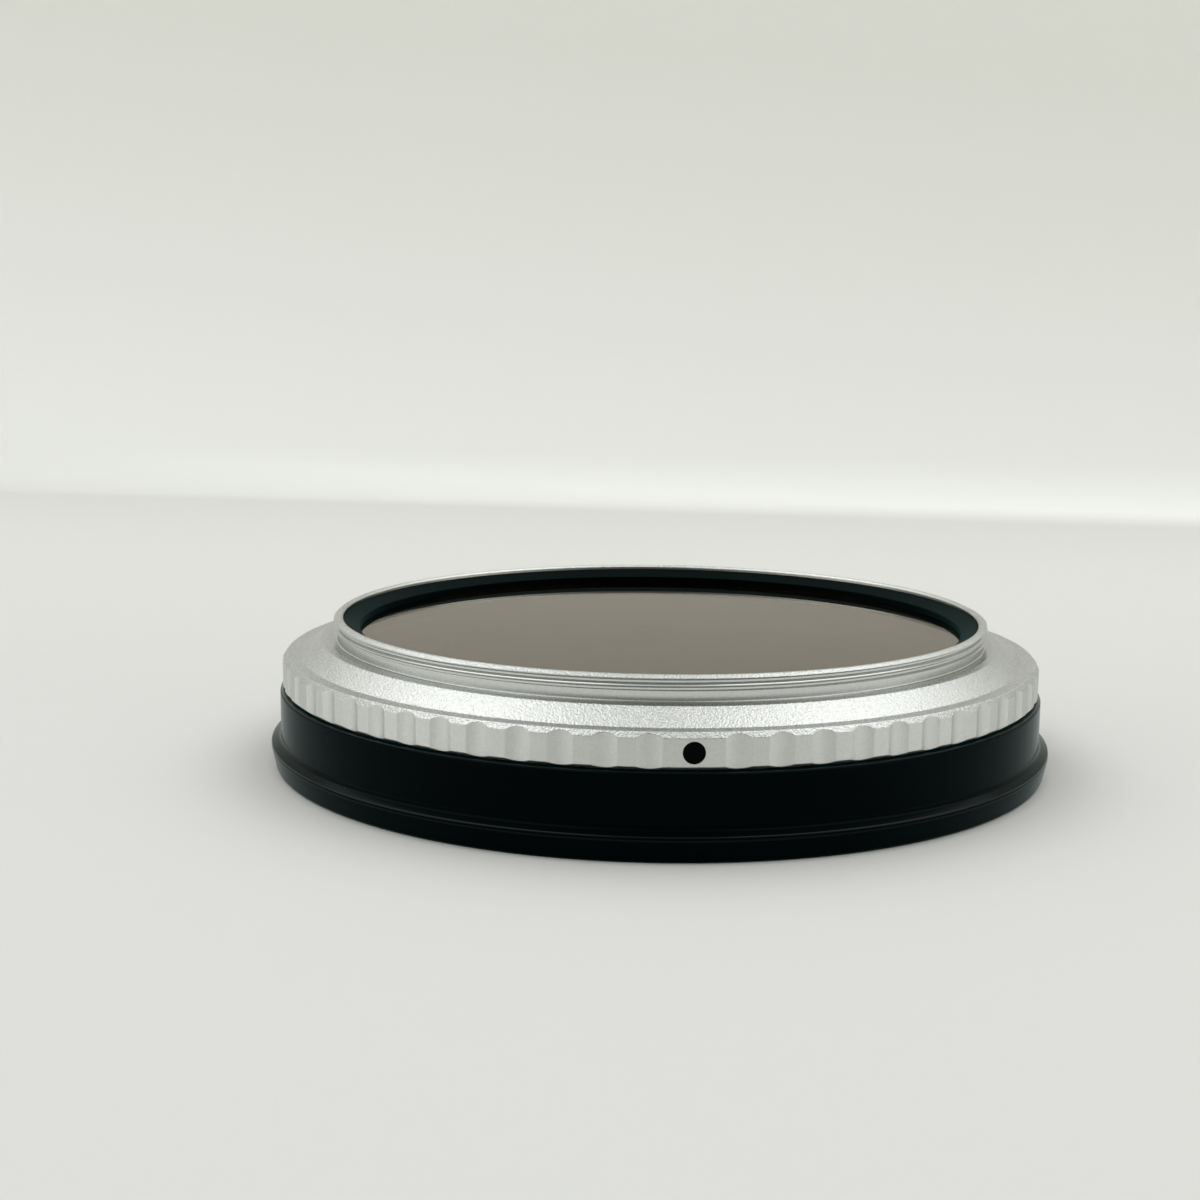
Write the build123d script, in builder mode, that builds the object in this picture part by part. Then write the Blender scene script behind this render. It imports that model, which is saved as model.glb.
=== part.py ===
"""Screw-in lens filter with two rings that turn on each other, lying on its front face.

Millimetres, +Z up along the optical axis. The front face rests on Z = 0, and the lens-side
thread points up. The index dot is at -Y.
"""
import os

from build123d import *

# Lens-side thread, 77 mm nominal, drawn as a plain cylinder at its major diameter
rear_thread_diameter = 77.0
rear_thread_length = 2.70
rim_chamfer_width = 0.55
rim_chamfer_height = 0.25
relief_depth = 0.40
relief_width = 1.12

# Rear frame outside, from the thread out to the scalloped grip
shoulder_width = 1.50
cone_width = 2.40
cone_drop = 1.65
ledge_width = 1.55
grip_height = 3.78
grip_top_chamfer_width = 0.47
grip_top_chamfer_height = 0.55
grip_foot_chamfer_width = 0.47
grip_foot_chamfer_height = 0.40
scallop_positions = 64
scallop_width = 2.65
scallop_depth = 0.33

# Index dot, enamel in a shallow drilled dimple on a plain stretch of the grip
dot_diameter = 2.25
dot_depth = 0.35
dot_recess = 0.05
dot_clearance = 0.02

# Rear glass and the ring that holds it
tube_wall = 1.10
rear_glass_thickness = 2.20
rear_seat_width = 2.30
rear_seat_thickness = 0.80
rear_ring_width = 1.90
rear_ring_height = 1.58
rear_ring_bevel_drop = 0.85
rear_ring_recess = 0.50

# Journal skirt of the rear frame, which turns inside the front frame
journal_inset = 2.42
skirt_length = 2.60
skirt_wall = 1.80
journal_clearance = 0.05
skirt_end_clearance = 0.25
ring_gap = 0.10

# Split spring ring of flat wire that keeps the two frames together
snap_ring_height = 0.60
snap_ring_width = 0.60
snap_ring_clearance = 0.05
snap_ring_running_clearance = 0.15
snap_ring_split_angle = 8.0

# Front frame outside: plain wall, a sloping flange and a lip that tapers in to its foot
front_wall_step = 0.33
front_top_chamfer = 0.25
flange_width = 1.12
flange_rise = 0.50
flange_fillet = 0.60
lip_height = 2.75
lip_land = 0.39
lip_taper = 0.47
foot_chamfer = 0.25

# Accessory thread of 86 mm nominal in the front frame, drawn at its minor diameter
lip_wall = 3.41
front_thread_length = 2.50
front_thread_chamfer = 0.45

# Front glass and the ring that holds it
front_glass_thickness = 2.00
front_ring_step = 1.16
front_ring_width = 1.90
front_ring_height = 0.90
front_ring_bevel = 0.35
front_ring_recess = 0.05
front_seat_width = 2.20
front_seat_thickness = 0.65

# Clearances shared by both glasses and both retaining rings
glass_clearance = 0.20
ring_thread_clearance = 0.05

# Radii, built outwards from the lens-side thread
rear_thread_radius = rear_thread_diameter / 2
shoulder_radius = rear_thread_radius + shoulder_width
cone_radius = shoulder_radius + cone_width
ledge_radius = cone_radius + ledge_width
grip_radius = ledge_radius + grip_top_chamfer_width
grip_foot_radius = grip_radius - grip_foot_chamfer_width
journal_radius = grip_radius - journal_inset
skirt_radius = journal_radius - skirt_wall
front_wall_radius = grip_radius + front_wall_step
lip_radius = front_wall_radius + flange_width
foot_radius = lip_radius - lip_taper
front_thread_radius = lip_radius - lip_wall
journal_bore_radius = journal_radius + journal_clearance

# Heights, stacked up from the front face
front_ring_bottom = front_thread_length + front_ring_recess
front_glass_bottom = front_ring_bottom + front_ring_height
front_seat = front_glass_bottom + front_glass_thickness
journal_floor = front_seat + front_seat_thickness
skirt_bottom = journal_floor + skirt_end_clearance
rear_bottom = skirt_bottom + skirt_length
front_top = rear_bottom - ring_gap
ledge = rear_bottom + grip_height
shoulder = ledge + cone_drop
rim = shoulder + rear_thread_length
rear_ring_top = rim - rear_ring_recess
rear_glass_top = rear_ring_top - rear_ring_height
rear_seat = rear_glass_top - rear_glass_thickness
snap_ring_middle = skirt_bottom + skirt_length / 2

# Bores of the rear frame, and the ring that screws into them
rear_ring_bore = rear_thread_radius - tube_wall
rear_aperture_radius = rear_ring_bore - rear_seat_width
rear_ring_outer_radius = rear_ring_bore - ring_thread_clearance
rear_ring_inner_radius = rear_ring_outer_radius - rear_ring_width

# Bores of the front frame, and the ring that screws into them
front_ring_bore = front_thread_radius - front_ring_step
front_aperture_radius = front_ring_bore - front_seat_width
front_ring_outer_radius = front_ring_bore - ring_thread_clearance
front_ring_inner_radius = front_ring_outer_radius - front_ring_width

# The snap ring sits half in a groove of the skirt and half in a groove of the front frame
snap_ring_radius = journal_radius + journal_clearance / 2
snap_ring_inner_radius = snap_ring_radius - snap_ring_width / 2
snap_ring_outer_radius = snap_ring_radius + snap_ring_width / 2
skirt_groove_radius = snap_ring_inner_radius - snap_ring_running_clearance
frame_groove_radius = snap_ring_outer_radius + snap_ring_clearance
groove_bottom = snap_ring_middle - snap_ring_height / 2 - snap_ring_clearance
groove_top = snap_ring_middle + snap_ring_height / 2 + snap_ring_clearance

# Each scallop is a shallow arc of this radius, cut across the grip
scallop_radius = scallop_width**2 / (8 * scallop_depth) + scallop_depth / 2
scallop_axis_radius = grip_radius - scallop_depth + scallop_radius
scallop_pitch = 360 / scallop_positions
dot_direction = -90
dot_height = rear_bottom + (grip_foot_chamfer_height + grip_height - grip_top_chamfer_height) / 2

os.makedirs("parts", exist_ok=True)

# Rear frame: one turned piece with the lens thread, the grip, the glass seat and the skirt
with BuildPart() as rear_frame:
    with BuildSketch(Plane.XZ):
        with BuildLine():
            Polyline(
                (rear_ring_bore, rim),
                (rear_thread_radius - rim_chamfer_width, rim),
                (rear_thread_radius, rim - rim_chamfer_height),
                (rear_thread_radius, shoulder + relief_width),
                (rear_thread_radius - relief_depth, shoulder + relief_width),
                (rear_thread_radius - relief_depth, shoulder),
                (shoulder_radius, shoulder),
                (cone_radius, ledge),
                (ledge_radius, ledge),
                (grip_radius, ledge - grip_top_chamfer_height),
                (grip_radius, rear_bottom + grip_foot_chamfer_height),
                (grip_foot_radius, rear_bottom),
                (journal_radius, rear_bottom),
                (journal_radius, groove_top),
                (skirt_groove_radius, groove_top),
                (skirt_groove_radius, groove_bottom),
                (journal_radius, groove_bottom),
                (journal_radius, skirt_bottom),
                (skirt_radius, skirt_bottom),
                (skirt_radius, rear_bottom),
                (rear_aperture_radius, rear_seat - rear_seat_thickness),
                (rear_aperture_radius, rear_seat),
                (rear_ring_bore, rear_seat),
                close=True,
            )
        make_face()
    revolve(axis=Axis.Z)
    # Scallops all round the grip, with the place at the index dot left plain
    with BuildSketch(Plane.XY.offset(rear_bottom)):
        with PolarLocations(
            scallop_axis_radius,
            scallop_positions - 1,
            start_angle=dot_direction + scallop_pitch,
            angular_range=360 - 2 * scallop_pitch,
            endpoint=True,
        ):
            Circle(scallop_radius)
    extrude(amount=grip_height, mode=Mode.SUBTRACT)
    # Dimple for the index dot
    with BuildSketch(Plane.XZ.offset(grip_radius)):
        with Locations((0, dot_height)):
            Circle(dot_diameter / 2)
    extrude(amount=-dot_depth, mode=Mode.SUBTRACT)
rear_frame.part.label = "rear_frame"
export_step(rear_frame.part, "parts/rear_frame.step")

# Index dot: enamel that fills the dimple to just under the surface
with BuildPart() as index_dot:
    with BuildSketch(Plane.XZ.offset(grip_radius - dot_depth)):
        with Locations((0, dot_height)):
            Circle(dot_diameter / 2 - dot_clearance)
    extrude(amount=dot_depth - dot_recess)
index_dot.part.label = "index_dot"
export_step(index_dot.part, "parts/index_dot.step")

# Rear glass: laminated polarising disc on the rear frame's seat
with BuildPart() as rear_glass:
    with BuildSketch(Plane.XY.offset(rear_seat)):
        Circle(rear_ring_bore - glass_clearance)
    extrude(amount=rear_glass_thickness)
rear_glass.part.label = "rear_glass"
export_step(rear_glass.part, "parts/rear_glass.step")

# Rear retaining ring: screwed into the rear frame on top of the glass, with a wide bevel
with BuildPart() as rear_retaining_ring:
    with BuildSketch(Plane.XZ):
        with BuildLine():
            Polyline(
                (rear_ring_inner_radius, rear_glass_top),
                (rear_ring_outer_radius, rear_glass_top),
                (rear_ring_outer_radius, rear_ring_top),
                (rear_ring_inner_radius, rear_ring_top - rear_ring_bevel_drop),
                close=True,
            )
        make_face()
    revolve(axis=Axis.Z)
rear_retaining_ring.part.label = "rear_retaining_ring"
export_step(rear_retaining_ring.part, "parts/rear_retaining_ring.step")

# Snap ring: split ring of flat spring wire in the two grooves of the journal
with BuildPart() as snap_ring:
    with BuildSketch(Plane.XZ):
        with Locations((snap_ring_radius, snap_ring_middle)):
            Rectangle(snap_ring_width, snap_ring_height)
    revolve(axis=Axis.Z, revolution_arc=360 - snap_ring_split_angle)
snap_ring.part.label = "snap_ring"
export_step(snap_ring.part, "parts/snap_ring.step")

# Front frame: turned ring with a flange, the accessory thread and the front glass seat
with BuildPart() as front_frame:
    with BuildSketch(Plane.XZ):
        with BuildLine():
            Polyline(
                (lip_radius, lip_height),
                (lip_radius, lip_height - lip_land),
                (foot_radius, foot_chamfer),
                (foot_radius - foot_chamfer, 0),
                (front_thread_radius + front_thread_chamfer, 0),
                (front_thread_radius, front_thread_chamfer),
                (front_thread_radius, front_thread_length),
                (front_ring_bore, front_thread_length),
                (front_ring_bore, front_seat),
                (front_aperture_radius, front_seat),
                (front_aperture_radius, journal_floor),
                (journal_bore_radius, journal_floor),
                (journal_bore_radius, groove_bottom),
                (frame_groove_radius, groove_bottom),
                (frame_groove_radius, groove_top),
                (journal_bore_radius, groove_top),
                (journal_bore_radius, front_top),
                (front_wall_radius - front_top_chamfer, front_top),
                (front_wall_radius, front_top - front_top_chamfer),
                (front_wall_radius, lip_height + flange_rise),
                close=True,
            )
        make_face()
        flange_root = vertices().sort_by_distance((front_wall_radius, lip_height + flange_rise))[0]
        fillet(flange_root, radius=flange_fillet)
    revolve(axis=Axis.Z)
front_frame.part.label = "front_frame"
export_step(front_frame.part, "parts/front_frame.step")

# Front glass: second polarising disc, seated in the front frame from the front
with BuildPart() as front_glass:
    with BuildSketch(Plane.XY.offset(front_glass_bottom)):
        Circle(front_ring_bore - glass_clearance)
    extrude(amount=front_glass_thickness)
front_glass.part.label = "front_glass"
export_step(front_glass.part, "parts/front_glass.step")

# Front retaining ring: holds the front glass, just clear of the accessory thread
with BuildPart() as front_retaining_ring:
    with BuildSketch(Plane.XZ):
        with BuildLine():
            Polyline(
                (front_ring_outer_radius, front_glass_bottom),
                (front_ring_outer_radius, front_ring_bottom),
                (front_ring_inner_radius + front_ring_bevel, front_ring_bottom),
                (front_ring_inner_radius, front_ring_bottom + front_ring_bevel),
                (front_ring_inner_radius, front_glass_bottom),
                close=True,
            )
        make_face()
    revolve(axis=Axis.Z)
front_retaining_ring.part.label = "front_retaining_ring"
export_step(front_retaining_ring.part, "parts/front_retaining_ring.step")
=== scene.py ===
import math

import bpy
from mathutils import Matrix, Vector


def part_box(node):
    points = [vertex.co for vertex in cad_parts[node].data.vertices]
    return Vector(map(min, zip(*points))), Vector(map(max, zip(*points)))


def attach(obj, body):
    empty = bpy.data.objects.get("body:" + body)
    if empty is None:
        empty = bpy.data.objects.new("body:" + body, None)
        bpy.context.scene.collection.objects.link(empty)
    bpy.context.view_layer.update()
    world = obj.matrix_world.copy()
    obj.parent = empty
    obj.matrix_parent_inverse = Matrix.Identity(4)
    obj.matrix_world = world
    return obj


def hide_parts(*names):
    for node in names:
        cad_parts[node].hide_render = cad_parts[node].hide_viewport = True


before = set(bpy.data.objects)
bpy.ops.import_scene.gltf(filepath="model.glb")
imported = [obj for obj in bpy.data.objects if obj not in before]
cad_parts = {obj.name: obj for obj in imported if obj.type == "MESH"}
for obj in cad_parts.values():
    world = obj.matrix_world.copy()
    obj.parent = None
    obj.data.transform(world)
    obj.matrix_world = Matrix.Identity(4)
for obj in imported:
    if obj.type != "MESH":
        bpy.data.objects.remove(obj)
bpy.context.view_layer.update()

# Rear frame: the silver ring that screws into the lens, turned in one piece from aluminium bar.
# Scallops are milled round its grip with one place left plain, and the lens thread is cut last.
# The finished ring is bead blasted and clear anodised, which leaves a fine bright grain.
mm = 0.001
weld = 0.001 * mm
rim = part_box("rear_frame")[1].z / mm
skirt_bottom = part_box("rear_frame")[0].z / mm

thread_radius = 38.5
thread_pitch = 0.75
thread_depth = 0.38
thread_length = 2.70
rim_chamfer_width = 0.55
rim_chamfer_height = 0.25
bore_chamfer = 0.22
relief_depth = 0.40
relief_width = 1.12
relief_corner = 0.09
shoulder_radius = thread_radius + 1.50
cone_radius = shoulder_radius + 2.40
ledge_radius = cone_radius + 1.55
grip_radius = ledge_radius + 0.47
skirt_length = 2.60
rear_bottom = skirt_bottom + skirt_length
grip_foot = rear_bottom + 0.40
ledge = rear_bottom + 3.78
grip_top = ledge - 0.55
shoulder = rim - thread_length
journal_radius = grip_radius - 2.42
skirt_radius = journal_radius - 1.80
snap_groove_radius = journal_radius - 0.425
snap_groove_middle = skirt_bottom + skirt_length / 2
snap_groove_half = 0.35
rear_bore = thread_radius - 1.10
rear_glass_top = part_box("rear_glass")[1].z / mm
rear_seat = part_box("rear_glass")[0].z / mm
rear_aperture = rear_bore - 2.30
rear_seat_thickness = 0.80


def turned(name, section, steps):
    """A ring from its closed section of (radius, height) corners, spun round the axis."""
    bpy.ops.object.select_all(action="DESELECT")
    bpy.ops.mesh.primitive_plane_add(size=mm)
    piece = bpy.context.object
    piece.name = name
    piece.data.name = name
    bpy.ops.object.mode_set(mode="EDIT")
    bpy.ops.mesh.select_all(action="SELECT")
    bpy.ops.mesh.merge(type="CENTER")
    bpy.ops.mesh.select_all(action="SELECT")
    bpy.ops.transform.translate(value=(section[0][0] * mm, 0, section[0][1] * mm))
    for here, there in zip(section, section[1:] + section[:1]):
        step = ((there[0] - here[0]) * mm, 0, (there[1] - here[1]) * mm)
        bpy.ops.mesh.extrude_vertices_move(TRANSFORM_OT_translate={"value": step})
    bpy.ops.mesh.select_all(action="SELECT")
    bpy.ops.mesh.remove_doubles(threshold=weld)
    bpy.ops.mesh.spin(steps=steps, angle=math.tau, center=(0, 0, 0), axis=(0, 0, 1))
    bpy.ops.mesh.select_all(action="SELECT")
    bpy.ops.mesh.remove_doubles(threshold=weld)
    bpy.ops.mesh.normals_make_consistent(inside=False)
    bpy.ops.object.mode_set(mode="OBJECT")
    return piece


rear_section = [
    (rear_bore, rim - bore_chamfer),
    (rear_bore + bore_chamfer, rim),
    (thread_radius - rim_chamfer_width, rim),
    (thread_radius, rim - rim_chamfer_height),
    (thread_radius, shoulder + relief_width),
    (thread_radius - relief_depth, shoulder + relief_width),
    (thread_radius - relief_depth, shoulder + relief_corner),
    (thread_radius - relief_depth + relief_corner, shoulder),
    (shoulder_radius, shoulder),
    (cone_radius, ledge),
    (ledge_radius, ledge),
    (grip_radius, grip_top),
    (grip_radius, grip_foot),
    (ledge_radius, rear_bottom),
    (journal_radius, rear_bottom),
    (journal_radius, snap_groove_middle + snap_groove_half),
    (snap_groove_radius, snap_groove_middle + snap_groove_half),
    (snap_groove_radius, snap_groove_middle - snap_groove_half),
    (journal_radius, snap_groove_middle - snap_groove_half),
    (journal_radius, skirt_bottom),
    (skirt_radius, skirt_bottom),
    (skirt_radius, rear_bottom),
    (rear_aperture, rear_seat - rear_seat_thickness),
    (rear_aperture, rear_seat),
    (rear_bore, rear_seat),
]
scallop_places = 64
columns_per_scallop = 16
rear_steps = scallop_places * columns_per_scallop
column = math.tau / rear_steps
rear_frame = turned("silver_rear_frame", rear_section, rear_steps)

# Half a column of turn puts the middle of each scallop between two columns of the mesh
rear_frame.rotation_euler.z = column / 2
bpy.ops.object.transform_apply(rotation=True)

scallop_width = 2.65
scallop_depth = 0.33
scallop_columns = 4.5
scallop_radius = scallop_width**2 / (8 * scallop_depth) + scallop_depth / 2
scallop_axis = grip_radius - scallop_depth + scallop_radius
scallop_edge = math.acos(
    (scallop_axis**2 + grip_radius**2 - scallop_radius**2) / (2 * scallop_axis * grip_radius)
)
scallop_pitch = math.tau / scallop_places
dot_direction = -math.pi / 2


def mill_scallops(piece):
    """Moves the grip's two corner rows in to the scallop arcs, so the chamfers meet them in curves."""
    for vertex in piece.data.vertices:
        radius = math.hypot(vertex.co.x, vertex.co.y) / mm
        if abs(radius - grip_radius) > 0.01:
            continue
        angle = math.atan2(vertex.co.y, vertex.co.x)
        place = round((angle - dot_direction) / scallop_pitch)
        middle = dot_direction + place * scallop_pitch
        across = angle - middle
        if place % scallop_places == 0 or abs(across) > (scallop_columns + 0.1) * column:
            continue
        if abs(across) > (scallop_columns - 0.1) * column:
            across = math.copysign(scallop_edge, across)
            cut_radius = grip_radius
        else:
            side = scallop_axis * math.sin(across)
            cut_radius = scallop_axis * math.cos(across) - math.sqrt(scallop_radius**2 - side**2)
        share = (cut_radius - ledge_radius) / (grip_radius - ledge_radius)
        if vertex.co.z / mm > (grip_top + grip_foot) / 2:
            height = ledge + (grip_top - ledge) * share
        else:
            height = rear_bottom + (grip_foot - rear_bottom) * share
        vertex.co.x = cut_radius * math.cos(middle + across) * mm
        vertex.co.y = cut_radius * math.sin(middle + across) * mm
        vertex.co.z = height * mm


mill_scallops(rear_frame)


def break_edges(piece, width, lowest, highest, segments=1, sharpness=25):
    """Takes the sharpness off the edges between two heights, where faces meet at more than an angle."""
    reach = 0.01
    bpy.ops.object.select_all(action="DESELECT")
    bpy.context.view_layer.objects.active = piece
    piece.select_set(True)
    bpy.ops.object.mode_set(mode="EDIT")
    bpy.ops.mesh.select_mode(type="EDGE")
    bpy.ops.mesh.select_all(action="DESELECT")
    bpy.ops.mesh.edges_select_sharp(sharpness=math.radians(sharpness))
    bpy.ops.object.mode_set(mode="OBJECT")
    heights = [vertex.co.z / mm for vertex in piece.data.vertices]
    for edge in piece.data.edges:
        ends = [heights[end] for end in edge.vertices]
        edge.select = edge.select and lowest - reach <= min(ends) and max(ends) <= highest + reach
    bpy.ops.object.mode_set(mode="EDIT")
    bpy.ops.mesh.bevel(offset=width * mm, segments=segments, affect="EDGES", clamp_overlap=True)
    bpy.ops.object.mode_set(mode="OBJECT")


rear_edge_break = 0.04
break_edges(rear_frame, rear_edge_break, rear_bottom, rim, sharpness=20)


def thread_cutter(pitch, root_radius, face_radius, turns, run_out_height, climb):
    """The helical groove between a thread's crests, wider at its mouth, that fades in at one end."""
    flank_angle = math.radians(30)
    steps = 180
    fade_steps = 20
    mouth = 0.06
    spare = 0.06
    outwards = math.copysign(1, face_radius - root_radius)
    flank_depth = abs(face_radius - root_radius) - mouth
    root_half = pitch / 8
    flank_half = root_half + flank_depth * math.tan(flank_angle)
    mouth_half = flank_half + mouth + spare
    corners = [
        (root_radius, -root_half),
        (root_radius, root_half),
        (face_radius - outwards * mouth, flank_half),
        (face_radius + outwards * spare, mouth_half),
        (face_radius + outwards * spare, -mouth_half),
        (face_radius - outwards * mouth, -flank_half),
    ]
    bpy.ops.object.select_all(action="DESELECT")
    bpy.ops.mesh.primitive_circle_add(vertices=len(corners), radius=mm)
    cutter = bpy.context.object
    for vertex, (radius, height) in zip(cutter.data.vertices, corners):
        vertex.co = (radius * mm, 0, (run_out_height + height) * mm)
    bpy.ops.object.modifier_add(type="SCREW")
    screw = cutter.modifiers[-1]
    screw.angle = climb * math.tau
    screw.screw_offset = climb * pitch * mm
    screw.iterations = turns
    screw.steps = steps
    screw.render_steps = steps
    bpy.ops.object.modifier_apply(modifier=screw.name)
    for vertex in cutter.data.vertices:
        fade = max(0, 1 - vertex.index // len(corners) / fade_steps)
        radius = math.hypot(vertex.co.x, vertex.co.y)
        grow = 1 + fade * (face_radius + outwards * spare / 2 - root_radius) * mm / radius
        vertex.co.x *= grow
        vertex.co.y *= grow
    bpy.ops.object.mode_set(mode="EDIT")
    bpy.ops.mesh.select_all(action="SELECT")
    bpy.ops.mesh.fill_holes(sides=0)
    bpy.ops.mesh.select_all(action="SELECT")
    bpy.ops.mesh.normals_make_consistent(inside=False)
    bpy.ops.object.mode_set(mode="OBJECT")
    return cutter


def cut(piece, cutter):
    """Takes the cutter's shape out of the piece and removes the cutter."""
    bpy.ops.object.select_all(action="DESELECT")
    bpy.context.view_layer.objects.active = piece
    piece.select_set(True)
    bpy.ops.object.modifier_add(type="BOOLEAN")
    taken = piece.modifiers[-1]
    taken.operation = "DIFFERENCE"
    taken.solver = "EXACT"
    taken.object = cutter
    bpy.ops.object.modifier_apply(modifier=taken.name)
    bpy.data.objects.remove(cutter)


# The groove starts in the relief at the back left and runs out through the rim
thread_turns = 3
thread_start = shoulder + relief_width - 0.05
thread_start_direction = math.radians(147)
lens_groove = thread_cutter(
    thread_pitch, thread_radius - thread_depth, thread_radius, thread_turns, thread_start, 1
)
lens_groove.rotation_euler.z = thread_start_direction
bpy.ops.object.transform_apply(rotation=True)
cut(rear_frame, lens_groove)

dot_diameter = 2.25
dot_depth = 0.35
dot_height = (grip_top + grip_foot) / 2


def dot_drill(radius, inner, outer):
    """A short round bar through the plain place on the grip, pointing out along -Y."""
    bpy.ops.object.select_all(action="DESELECT")
    bpy.ops.mesh.primitive_cylinder_add(
        vertices=64,
        radius=radius * mm,
        depth=(outer - inner) * mm,
        location=(0, -(inner + outer) / 2 * mm, dot_height * mm),
        rotation=(math.pi / 2, 0, 0),
    )
    bpy.ops.object.transform_apply(location=True, rotation=True)
    return bpy.context.object


cut(rear_frame, dot_drill(dot_diameter / 2, grip_radius - dot_depth, grip_radius + 1))


class Shade:
    """A socket in a node tree: sums on it add Math nodes, and node() adds a node of any other kind."""

    def __init__(self, tree, socket=None):
        self.tree = tree
        self.socket = socket

    def node(self, kind, settings, inputs, output=0):
        made = self.tree.nodes.new(kind)
        for name, value in settings.items():
            if name == "stops":
                while len(made.color_ramp.elements) < len(value):
                    made.color_ramp.elements.new(1.0)
                for stop, (position, colour) in zip(made.color_ramp.elements, value):
                    stop.position = position
                    stop.color = colour
            else:
                setattr(made, name, value)
        for name, value in inputs.items():
            if isinstance(value, Shade):
                self.tree.links.new(value.socket, made.inputs[name])
            else:
                made.inputs[name].default_value = value
        return Shade(self.tree, made.outputs[output])

    def feed(self, socket):
        self.tree.links.new(self.socket, socket)

    def maths(self, operation, first, second):
        return self.node("ShaderNodeMath", {"operation": operation}, {0: first, 1: second})

    def __add__(self, other):
        return self.maths("ADD", self, other)

    def __radd__(self, other):
        return self.maths("ADD", other, self)

    def __sub__(self, other):
        return self.maths("SUBTRACT", self, other)

    def __rsub__(self, other):
        return self.maths("SUBTRACT", other, self)

    def __mul__(self, other):
        return self.maths("MULTIPLY", self, other)

    def __rmul__(self, other):
        return self.maths("MULTIPLY", other, self)


def new_finish(name):
    """A new material, its shader's inputs, a Shade to start from and the Object coordinates."""
    finish = bpy.data.materials.new(name)
    finish.use_nodes = True
    start = Shade(finish.node_tree)
    place = start.node("ShaderNodeTexCoord", {}, {}, "Object")
    return finish, finish.node_tree.nodes["Principled BSDF"].inputs, start, place


def blend_colours(start, share, first, second):
    """A colour between two, by a share that changes over the surface."""
    return start.node(
        "ShaderNodeMix", {"data_type": "RGBA"}, {0: share, 6: first, 7: second}, 2
    )


def part_along(start, vector, axis):
    """A vector's part along the X, Y or Z axis."""
    return start.node("ShaderNodeSeparateXYZ", {}, {"Vector": vector}, axis)


def radius_of(start, place):
    """The distance from the optical axis."""
    flat_place = start.node(
        "ShaderNodeVectorMath", {"operation": "MULTIPLY"}, {0: place, 1: (1.0, 1.0, 0.0)}
    )
    return start.node("ShaderNodeVectorMath", {"operation": "LENGTH"}, {0: flat_place}, "Value")


def blasted_silver():
    """Clear anodised aluminium with the bright grain of bead blasting, smooth on the thread."""
    finish, shader, start, place = new_finish("blasted_silver")
    grain_size = 0.16 * mm
    cells = start.node(
        "ShaderNodeTexVoronoi", {}, {"Vector": place, "Scale": 1 / grain_size}, "Color"
    )
    grain = start.node(
        "ShaderNodeTexNoise", {}, {"Vector": place, "Scale": 0.7 / grain_size, "Detail": 2.0}
    )
    cloud = start.node("ShaderNodeTexNoise", {}, {"Vector": place, "Scale": 90.0, "Detail": 3.0})
    past_thread = (thread_radius + 0.5) * mm
    rim_edge = (rim - rim_chamfer_height - 0.02) * mm
    facing = start.node("ShaderNodeNewGeometry", {}, {}, "Normal")
    upright = start.maths("LESS_THAN", part_along(start, facing, "Z"), 0.3)
    outside = start.maths("GREATER_THAN", radius_of(start, place), past_thread)
    on_rim = start.maths("GREATER_THAN", part_along(start, place, "Z"), rim_edge)
    on_grip = outside * upright
    blasted = start.maths("MAXIMUM", outside, on_rim) * (1 - on_grip * 0.65)
    turned_roughness = 0.22
    dent_depth = 0.09 * mm
    silver_dark = (0.60, 0.61, 0.595, 1)
    silver_light = (0.70, 0.71, 0.69, 1)
    blend_colours(start, cells * 0.7 + cloud * 0.3, silver_dark, silver_light).feed(
        shader["Base Color"]
    )
    shader["Metallic"].default_value = 1.0
    shader["Specular Tint"].default_value = (0.72, 0.72, 0.72, 1)
    roughness = turned_roughness + blasted * 0.06 + on_grip * 0.18 + (grain - 0.5) * 0.12
    roughness.feed(shader["Roughness"])
    start.node(
        "ShaderNodeBump", {}, {"Strength": 1.0, "Distance": dent_depth, "Height": grain * blasted}
    ).feed(shader["Normal"])
    return finish


def finish_piece(piece, finish, smooth_angle=20):
    """Gives a finished mesh its smooth turned surfaces and its material."""
    bpy.ops.object.select_all(action="DESELECT")
    bpy.context.view_layer.objects.active = piece
    piece.select_set(True)
    bpy.ops.object.shade_smooth_by_angle(angle=math.radians(smooth_angle))
    piece.data.materials.clear()
    piece.data.materials.append(finish)


finish_piece(rear_frame, blasted_silver(), smooth_angle=9)
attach(rear_frame, "rear_ring")
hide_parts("rear_frame")

# Index dot: a drop of black enamel that fills the drilled dimple on the plain place of the grip.
# It cures a little below the metal and draws up at its edge, so its face is slightly hollow.
dot_clearance = 0.02
dot_recess = 0.05
dot_hollow = 0.04
index_dot = dot_drill(
    dot_diameter / 2 - dot_clearance, grip_radius - dot_depth, grip_radius - dot_recess
)
index_dot.name = "index_dot_enamel"
bpy.ops.object.mode_set(mode="EDIT")
bpy.ops.mesh.select_mode(type="FACE")
bpy.ops.mesh.select_all(action="DESELECT")
bpy.ops.object.mode_set(mode="OBJECT")
for face in index_dot.data.polygons:
    face.select = face.normal.y < -0.9
bpy.ops.object.mode_set(mode="EDIT")
for inset_share in (0.2, 0.4):
    bpy.ops.mesh.inset(thickness=inset_share * dot_diameter / 2 * mm)
    bpy.ops.transform.translate(value=(0, dot_hollow / 2 * mm, 0))
bpy.ops.object.mode_set(mode="OBJECT")


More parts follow.
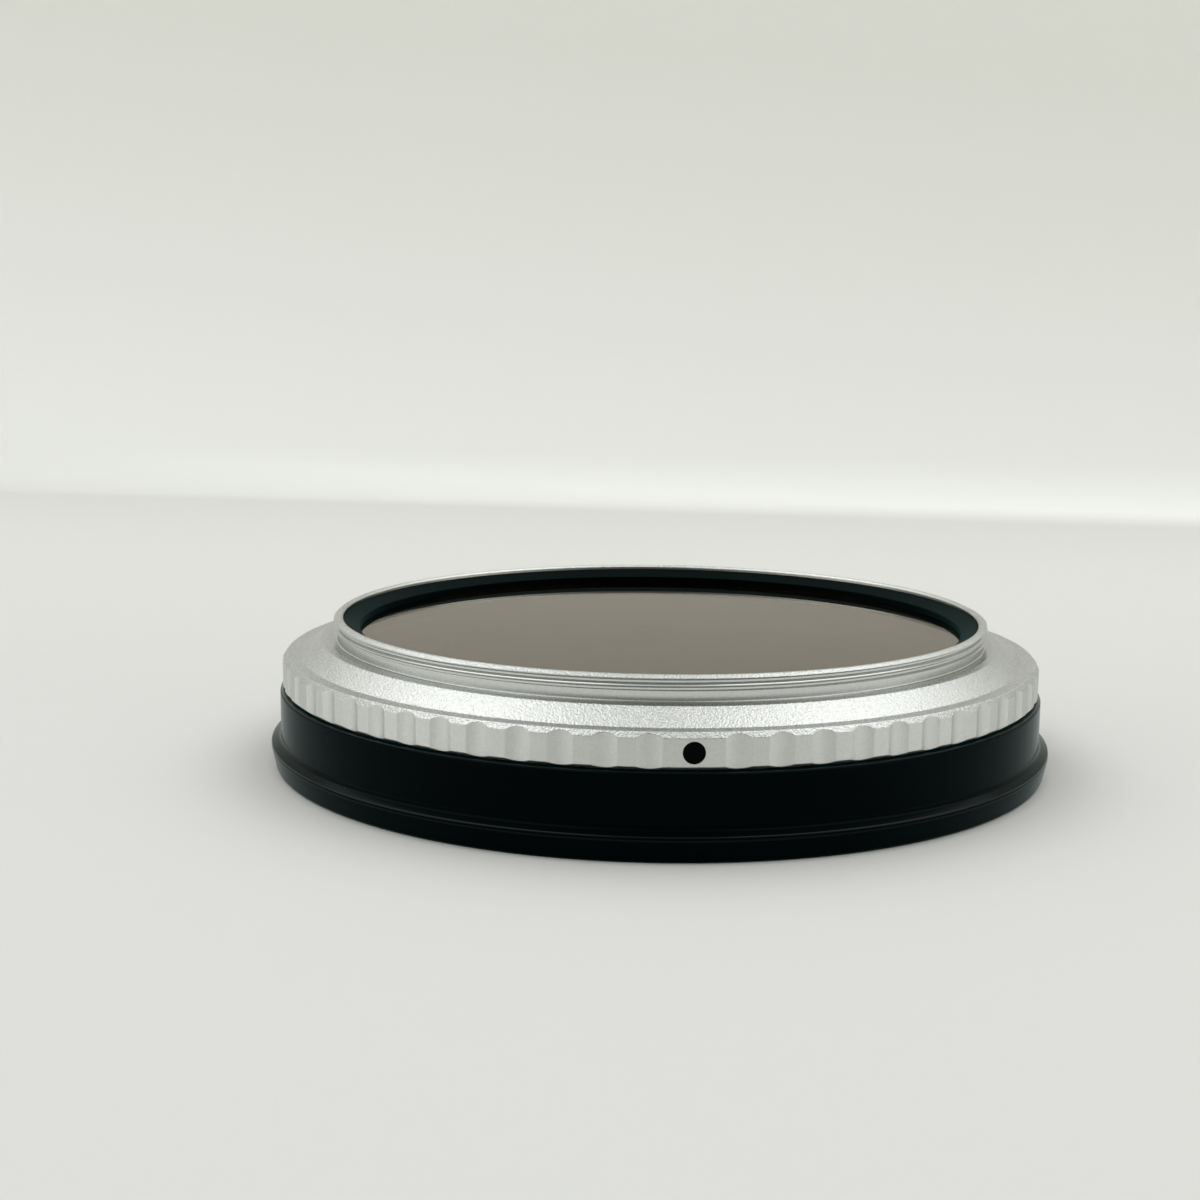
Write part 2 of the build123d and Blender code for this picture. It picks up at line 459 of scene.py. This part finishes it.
def black_enamel():
    """Glossy black enamel with a faint unevenness from curing."""
    finish, shader, start, place = new_finish("black_enamel")
    ripple = start.node("ShaderNodeTexNoise", {}, {"Vector": place, "Scale": 900.0, "Detail": 2.0})
    blend_colours(start, ripple, (0.0003, 0.0007, 0.0008, 1), (0.0008, 0.0014, 0.0015, 1)).feed(
        shader["Base Color"]
    )
    (0.24 + ripple * 0.10).feed(shader["Roughness"])
    shader["Specular IOR Level"].default_value = 0.03
    start.node(
        "ShaderNodeBump", {}, {"Strength": 0.2, "Distance": 0.02 * mm, "Height": ripple}
    ).feed(shader["Normal"])
    return finish


finish_piece(index_dot, black_enamel(), smooth_angle=40)
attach(index_dot, "rear_ring")
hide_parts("index_dot")

# Rear glass: a dark polarising film laminated between two discs of optical glass.
# It drops onto the rear frame's seat, and its edges are ground to a small bevel.
edge_bevel = 0.25


def ground_disc(name, node):
    """A glass disc of a CAD node's size, with its two edges ground."""
    low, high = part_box(node)
    bpy.ops.object.select_all(action="DESELECT")
    bpy.ops.mesh.primitive_cylinder_add(
        vertices=256,
        radius=high.x,
        depth=high.z - low.z,
        location=(0, 0, (low.z + high.z) / 2),
    )
    disc = bpy.context.object
    disc.name = name
    bpy.ops.object.transform_apply(location=True)
    break_edges(disc, edge_bevel, low.z / mm, high.z / mm, sharpness=60)
    return disc


def polarising_glass():
    """Dark grey-brown filter glass, polished and coated, with the last faint trace of wiping."""
    finish, shader, start, place = new_finish("polarising_glass")
    wiping = start.node("ShaderNodeTexNoise", {}, {"Vector": place, "Scale": 60.0, "Detail": 4.0})
    blend_colours(start, wiping, (0.20, 0.16, 0.135, 1), (0.24, 0.195, 0.165, 1)).feed(
        shader["Base Color"]
    )
    (wiping * 0.04).feed(shader["Roughness"])
    shader["Transmission Weight"].default_value = 1.0
    shader["IOR"].default_value = 1.5
    shader["Coat Weight"].default_value = 1.0
    shader["Coat IOR"].default_value = 1.02
    shader["Coat Tint"].default_value = (0.93, 0.909, 0.882, 1)
    return finish


filter_glass = polarising_glass()
rear_glass = ground_disc("rear_filter_glass", "rear_glass")
finish_piece(rear_glass, filter_glass)
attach(rear_glass, "rear_ring")
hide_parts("rear_glass")

# Rear retaining ring: a black ring with a wide bevel, turned from aluminium.
# It screws into the bore of the rear frame and presses the rear glass on its seat.
ring_clearance = 0.05
rubbed_width = 0.09
rear_ring_outer = rear_bore - ring_clearance
rear_ring_inner = rear_ring_outer - 1.90
rear_ring_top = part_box("rear_retaining_ring")[1].z / mm
rear_ring_bevel_drop = 0.85
ring_edge_break = 0.06
ring_steps = 384
rear_retaining_ring = turned(
    "rear_bevelled_ring",
    [
        (rear_ring_inner, rear_glass_top),
        (rear_ring_outer, rear_glass_top),
        (rear_ring_outer, rear_ring_top),
        (rear_ring_inner, rear_ring_top - rear_ring_bevel_drop),
    ],
    ring_steps,
)
break_edges(rear_retaining_ring, ring_edge_break, rear_glass_top, rear_ring_top)


def black_anodised(name, roughness, rubbed_edges):
    """Black anodised aluminium with turning marks, and edges of (radius, height, gloss) rubbed shiny."""
    finish, shader, start, place = new_finish(name)
    radius = radius_of(start, place)
    tool_marks = start.node(
        "ShaderNodeTexNoise", {"noise_dimensions": "1D"}, {"W": radius, "Scale": 9000.0}
    )
    grain = start.node(
        "ShaderNodeTexNoise", {}, {"Vector": place, "Scale": 6000.0, "Detail": 2.0}
    )
    blend_colours(start, grain, (0.0001, 0.0010, 0.0013, 1), (0.0003, 0.0016, 0.0019, 1)).feed(
        shader["Base Color"]
    )
    (roughness + tool_marks * 0.05 + grain * 0.06).feed(shader["Roughness"])
    shader["Specular IOR Level"].default_value = 0.02
    shader["Sheen Weight"].default_value = 0.05
    shader["Sheen Roughness"].default_value = 0.4
    shader["Sheen Tint"].default_value = (0.05, 1.0, 1.0, 1)
    height = part_along(start, place, "Z")
    rubbed = 0
    for edge_radius, edge_height, gloss in rubbed_edges:
        across = radius - edge_radius * mm
        along = height - edge_height * mm
        near = start.maths("LESS_THAN", across * across + along * along, (rubbed_width * mm) ** 2)
        rubbed = rubbed + near * gloss
    if rubbed_edges:
        rubbed.feed(shader["Coat Weight"])
        shader["Coat Roughness"].default_value = 0.05
    start.node(
        "ShaderNodeBump", {}, {"Strength": 0.2, "Distance": 0.008 * mm, "Height": grain}
    ).feed(shader["Normal"])
    return finish


matt_black = black_anodised("matt_black_anodised", 0.50, [])
finish_piece(rear_retaining_ring, matt_black)
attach(rear_retaining_ring, "rear_ring")
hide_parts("rear_retaining_ring")


# Snap ring: a split ring of flat spring wire, hardened steel with a drawn finish.
# It sits half in a groove of each frame and lets them turn without coming apart.
def drawn_steel():
    """Bright spring steel with fine lines along the wire."""
    finish, shader, start, place = new_finish("drawn_steel")
    height = part_along(start, place, "Z")
    lines = start.node(
        "ShaderNodeTexNoise", {"noise_dimensions": "1D"}, {"W": height, "Scale": 25000.0}
    )
    blend_colours(start, lines, (0.42, 0.42, 0.43, 1), (0.56, 0.56, 0.57, 1)).feed(
        shader["Base Color"]
    )
    shader["Metallic"].default_value = 1.0
    (0.28 + lines * 0.15).feed(shader["Roughness"])
    return finish


snap_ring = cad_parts["snap_ring"]
snap_ring.data.materials.clear()
snap_ring.data.materials.append(drawn_steel())

# Front frame: the black ring in front, turned from aluminium and anodised satin black.
# A thin sloping flange stands out at the foot of its plain wall, and tapers in under a narrow land.
# The accessory thread is cut inside the lip.
front_wall_radius = grip_radius + 0.33
lip_radius = front_wall_radius + 1.12
front_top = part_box("front_frame")[1].z / mm
front_top_chamfer = 0.25
lip_height = 2.75
lip_taper = 0.47
lip_land = 0.39
land_bottom = lip_height - lip_land
flange_root = lip_height + 0.50
flange_slope = math.atan2(flange_root - lip_height, lip_radius - front_wall_radius)
flange_fillet = 0.60
foot_chamfer = 0.25
foot_radius = lip_radius - lip_taper
front_thread_radius = lip_radius - 3.41
front_thread_length = 2.50
front_thread_chamfer = 0.45
front_thread_pitch = 1.0
front_thread_depth = 0.50
front_bore = front_thread_radius - 1.16
front_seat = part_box("front_glass")[1].z / mm
front_glass_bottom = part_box("front_glass")[0].z / mm
front_aperture = front_bore - 2.20
lip_edge_round = 0.10
land_edge_break = 0.05
foot_edge_break = 0.08
top_edge_break = 0.06
journal_floor = front_seat + 0.65
journal_bore = journal_radius + 0.05
frame_groove_radius = journal_radius + 0.375
front_section = [
    (front_wall_radius, flange_root),
    (lip_radius, lip_height),
    (lip_radius, land_bottom),
    (foot_radius, foot_chamfer),
    (foot_radius - foot_chamfer, 0),
    (front_thread_radius + front_thread_chamfer, 0),
    (front_thread_radius, front_thread_chamfer),
    (front_thread_radius, front_thread_length),
    (front_bore, front_thread_length),
    (front_bore, front_seat),
    (front_aperture, front_seat),
    (front_aperture, journal_floor),
    (journal_bore, journal_floor),
    (journal_bore, snap_groove_middle - snap_groove_half),
    (frame_groove_radius, snap_groove_middle - snap_groove_half),
    (frame_groove_radius, snap_groove_middle + snap_groove_half),
    (journal_bore, snap_groove_middle + snap_groove_half),
    (journal_bore, front_top),
    (front_wall_radius - front_top_chamfer, front_top),
    (front_wall_radius, front_top - front_top_chamfer),
]
front_frame = turned("black_front_frame", front_section, ring_steps)
fillet_reach = flange_fillet * math.tan((math.pi / 2 - flange_slope) / 2)
break_edges(front_frame, fillet_reach, flange_root, flange_root, segments=8)
break_edges(front_frame, lip_edge_round, lip_height, lip_height, segments=4)
break_edges(front_frame, land_edge_break, land_bottom, land_bottom, segments=2, sharpness=8)
break_edges(front_frame, foot_edge_break, 0, foot_chamfer, segments=2)
break_edges(front_frame, top_edge_break, front_top - front_top_chamfer, front_top, segments=2)
accessory_groove = thread_cutter(
    front_thread_pitch,
    front_thread_radius + front_thread_depth,
    front_thread_radius,
    thread_turns,
    front_thread_length - front_thread_chamfer,
    -1,
)
cut(front_frame, accessory_groove)
rubbed_edges = [
    (lip_radius, lip_height, 0.35),
    (lip_radius, land_bottom, 0.15),
    (front_wall_radius - front_top_chamfer, front_top, 0.25),
]
satin_black = black_anodised("satin_black_anodised", 0.12, rubbed_edges)
finish_piece(front_frame, satin_black, smooth_angle=30)
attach(front_frame, "front_ring")
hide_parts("front_frame")

# Front glass: the second polarising disc, a little larger, laminated and ground like the first.
# It seats in the front frame from the front, and turns with it.
front_glass = ground_disc("front_filter_glass", "front_glass")
finish_piece(front_glass, filter_glass)
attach(front_glass, "front_ring")
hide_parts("front_glass")

# Front retaining ring: a low black ring with a bevelled inner edge, turned from aluminium.
# It screws into the front frame behind the accessory thread and holds the front glass.
front_ring_outer = front_bore - ring_clearance
front_ring_inner = front_ring_outer - 1.90
front_ring_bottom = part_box("front_retaining_ring")[0].z / mm
front_ring_bevel = 0.35
front_retaining_ring = turned(
    "front_bevelled_ring",
    [
        (front_ring_outer, front_glass_bottom),
        (front_ring_outer, front_ring_bottom),
        (front_ring_inner + front_ring_bevel, front_ring_bottom),
        (front_ring_inner, front_ring_bottom + front_ring_bevel),
        (front_ring_inner, front_glass_bottom),
    ],
    ring_steps,
)
break_edges(front_retaining_ring, ring_edge_break, front_ring_bottom, front_glass_bottom)
finish_piece(front_retaining_ring, matt_black)
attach(front_retaining_ring, "front_ring")
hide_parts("front_retaining_ring")

# Table and wall: one pale sheet of matt board that the filter lies on.
# It is bent up behind the filter with a small round corner, and stands a little askew to it.
sheet_width = 4000
sheet_depth = 2400
wall_height = 240
wall_corner = 12
wall_distance = 280
wall_turn = math.radians(-8.6)
back_edge = (wall_distance - 1) * mm
bpy.ops.object.select_all(action="DESELECT")
bpy.ops.mesh.primitive_plane_add(size=mm)
backdrop = bpy.context.object
backdrop.name = "pale_backdrop"
backdrop.scale = (sheet_width, sheet_depth, 1)
backdrop.location = (0, (wall_distance - sheet_depth / 2) * mm, 0)
bpy.ops.object.transform_apply(location=True, scale=True)
bpy.ops.object.mode_set(mode="EDIT")
bpy.ops.mesh.select_mode(type="EDGE")
bpy.ops.mesh.select_all(action="DESELECT")
bpy.ops.object.mode_set(mode="OBJECT")
for edge in backdrop.data.edges:
    edge.select = all(
        backdrop.data.vertices[end].co.y > back_edge for end in edge.vertices
    )
bpy.ops.object.mode_set(mode="EDIT")
bpy.ops.mesh.extrude_region_move(TRANSFORM_OT_translate={"value": (0, 0, wall_height * mm)})
bpy.ops.mesh.select_all(action="DESELECT")
bpy.ops.object.mode_set(mode="OBJECT")
for edge in backdrop.data.edges:
    ends = [backdrop.data.vertices[end].co for end in edge.vertices]
    edge.select = all(end.z < mm and end.y > back_edge for end in ends)
bpy.ops.object.mode_set(mode="EDIT")
bpy.ops.mesh.bevel(offset=wall_corner * mm, segments=8, affect="EDGES")
bpy.ops.object.mode_set(mode="OBJECT")
backdrop.rotation_euler.z = wall_turn
bpy.ops.object.transform_apply(rotation=True)


def pale_board():
    """Matt white board, a little warm, with painted light: paler towards the back and near the bend,
    darker higher up the wall, and a painted glow along the bend.
    """
    finish, shader, start, place = new_finish("pale_board")
    along_sheet = (0.08 - math.sin(wall_turn), math.cos(wall_turn), 1.0)
    along = start.node(
        "ShaderNodeVectorMath", {"operation": "DOT_PRODUCT"}, {0: place, 1: along_sheet}, "Value"
    )
    share = 0.2 + along * 2
    patches = start.node("ShaderNodeTexNoise", {}, {"Vector": place, "Scale": 6.0, "Detail": 2.0})
    # Painted light: the colour rises from the front of the table to the bend and falls again up the
    # wall. A faint random patchiness is added on top.
    tone_with_painted_light = start.node(
        "ShaderNodeValToRGB",
        {
            "stops": [
                (0.0, (0.755, 0.75, 0.73, 1)),
                (0.25, (0.755, 0.75, 0.73, 1)),
                (0.55, (0.83, 0.83, 0.80, 1)),
                (0.70, (0.85, 0.85, 0.82, 1)),
                (0.76, (0.92, 0.92, 0.90, 1)),
                (1.0, (0.86, 0.86, 0.80, 1)),
            ]
        },
        {"Fac": share + (patches - 0.5) * 0.02},
    )
    tone_with_painted_light.feed(shader["Base Color"])
    # Painted light: the wall glows most at the bend and less higher up. Only camera, glossy and
    # transmission rays see the glow.
    painted_glow = start.node(
        "ShaderNodeValToRGB",
        {
            "stops": [
                (0.70, (0.0, 0.0, 0.0, 1)),
                (0.76, (0.155, 0.155, 0.155, 1)),
                (1.0, (0.06, 0.06, 0.06, 1)),
            ]
        },
        {"Fac": share},
    )
    seen = (
        start.node("ShaderNodeLightPath", {}, {}, "Is Camera Ray")
        + start.node("ShaderNodeLightPath", {}, {}, "Is Glossy Ray")
        + start.node("ShaderNodeLightPath", {}, {}, "Is Transmission Ray")
    )
    blend_colours(start, seen, (0.0, 0.0, 0.0, 1), painted_glow).feed(shader["Emission Color"])
    shader["Emission Strength"].default_value = 1.0
    shader["Roughness"].default_value = 0.75
    shader["Specular IOR Level"].default_value = 0.2
    return finish


finish_piece(backdrop, pale_board(), smooth_angle=30)

# Light: a pale room that is brighter along the sides, near the horizon, and darker in front.
# Two long soft panels hang overhead, left and right, with a gap between them.
room_colour = (0.97, 1.0, 0.97, 1)
side_colour = (4.4, 4.5, 4.3, 1)
front_colour = (0.30, 0.29, 0.26, 1)
room = bpy.data.worlds.new("pale_room")
bpy.context.scene.world = room
room.use_nodes = True
room_light = room.node_tree.nodes["Background"]
room_light.inputs["Strength"].default_value = 0.60
start = Shade(room.node_tree)
outwards = start.node("ShaderNodeTexCoord", {}, {}, "Generated")
sideways = part_along(start, outwards, "X")
forwards = 0.0 - part_along(start, outwards, "Y")
upwards = part_along(start, outwards, "Z")
near_horizon = start.maths("POWER", 1 - start.maths("MAXIMUM", upwards, 0.0), 6)
at_front = start.maths("POWER", start.maths("MAXIMUM", forwards, 0.0), 3)
pale_room = blend_colours(start, sideways * sideways * near_horizon, room_colour, side_colour)
blend_colours(start, at_front, pale_room, front_colour).feed(room_light.inputs["Color"])

panel_height = 1.0
panel_front = -0.5
panel_back = 1.3
panel_brightness = 1.15
left_panel = (-1.05, -0.19)
right_panel = (0.20, 1.15)
for left_end, right_end in (left_panel, right_panel):
    middle = ((left_end + right_end) / 2, (panel_front + panel_back) / 2, panel_height)
    bpy.ops.object.light_add(type="AREA", location=middle)
    panel = bpy.context.object.data
    panel.shape = "RECTANGLE"
    panel.size = right_end - left_end
    panel.size_y = panel_back - panel_front
    panel.energy = panel_brightness * math.pi * panel.size * panel.size_y

# Camera: a little above the filter and looking slightly down at it.
# Its place and angles were fitted to the edges of the rings, with lengths in millimetres.
focal_pixels = 1823.4
frame_pixels = 1200
sensor_width = 36
camera_distance = 214.90
camera_height = 53.68
camera_azimuth = math.radians(4.63)
camera_heading = math.radians(2.742)
camera_pitch = math.radians(9.362)
camera_roll = math.radians(0.536)
bpy.ops.object.camera_add()
camera = bpy.context.object
camera.data.sensor_width = sensor_width
camera.data.lens = focal_pixels * sensor_width / frame_pixels
camera.data.clip_start = 0.01
camera.data.clip_end = 20
camera_place = Vector(
    (
        -camera_distance * math.sin(camera_azimuth),
        -camera_distance * math.cos(camera_azimuth),
        camera_height,
    )
)
camera.matrix_world = (
    Matrix.Translation(camera_place * mm)
    @ Matrix.Rotation(-camera_heading, 4, "Z")
    @ Matrix.Rotation(math.pi / 2 - camera_pitch, 4, "X")
    @ Matrix.Rotation(camera_roll, 4, "Z")
)
bpy.context.scene.camera = camera
bpy.context.scene.view_settings.view_transform = "Standard"
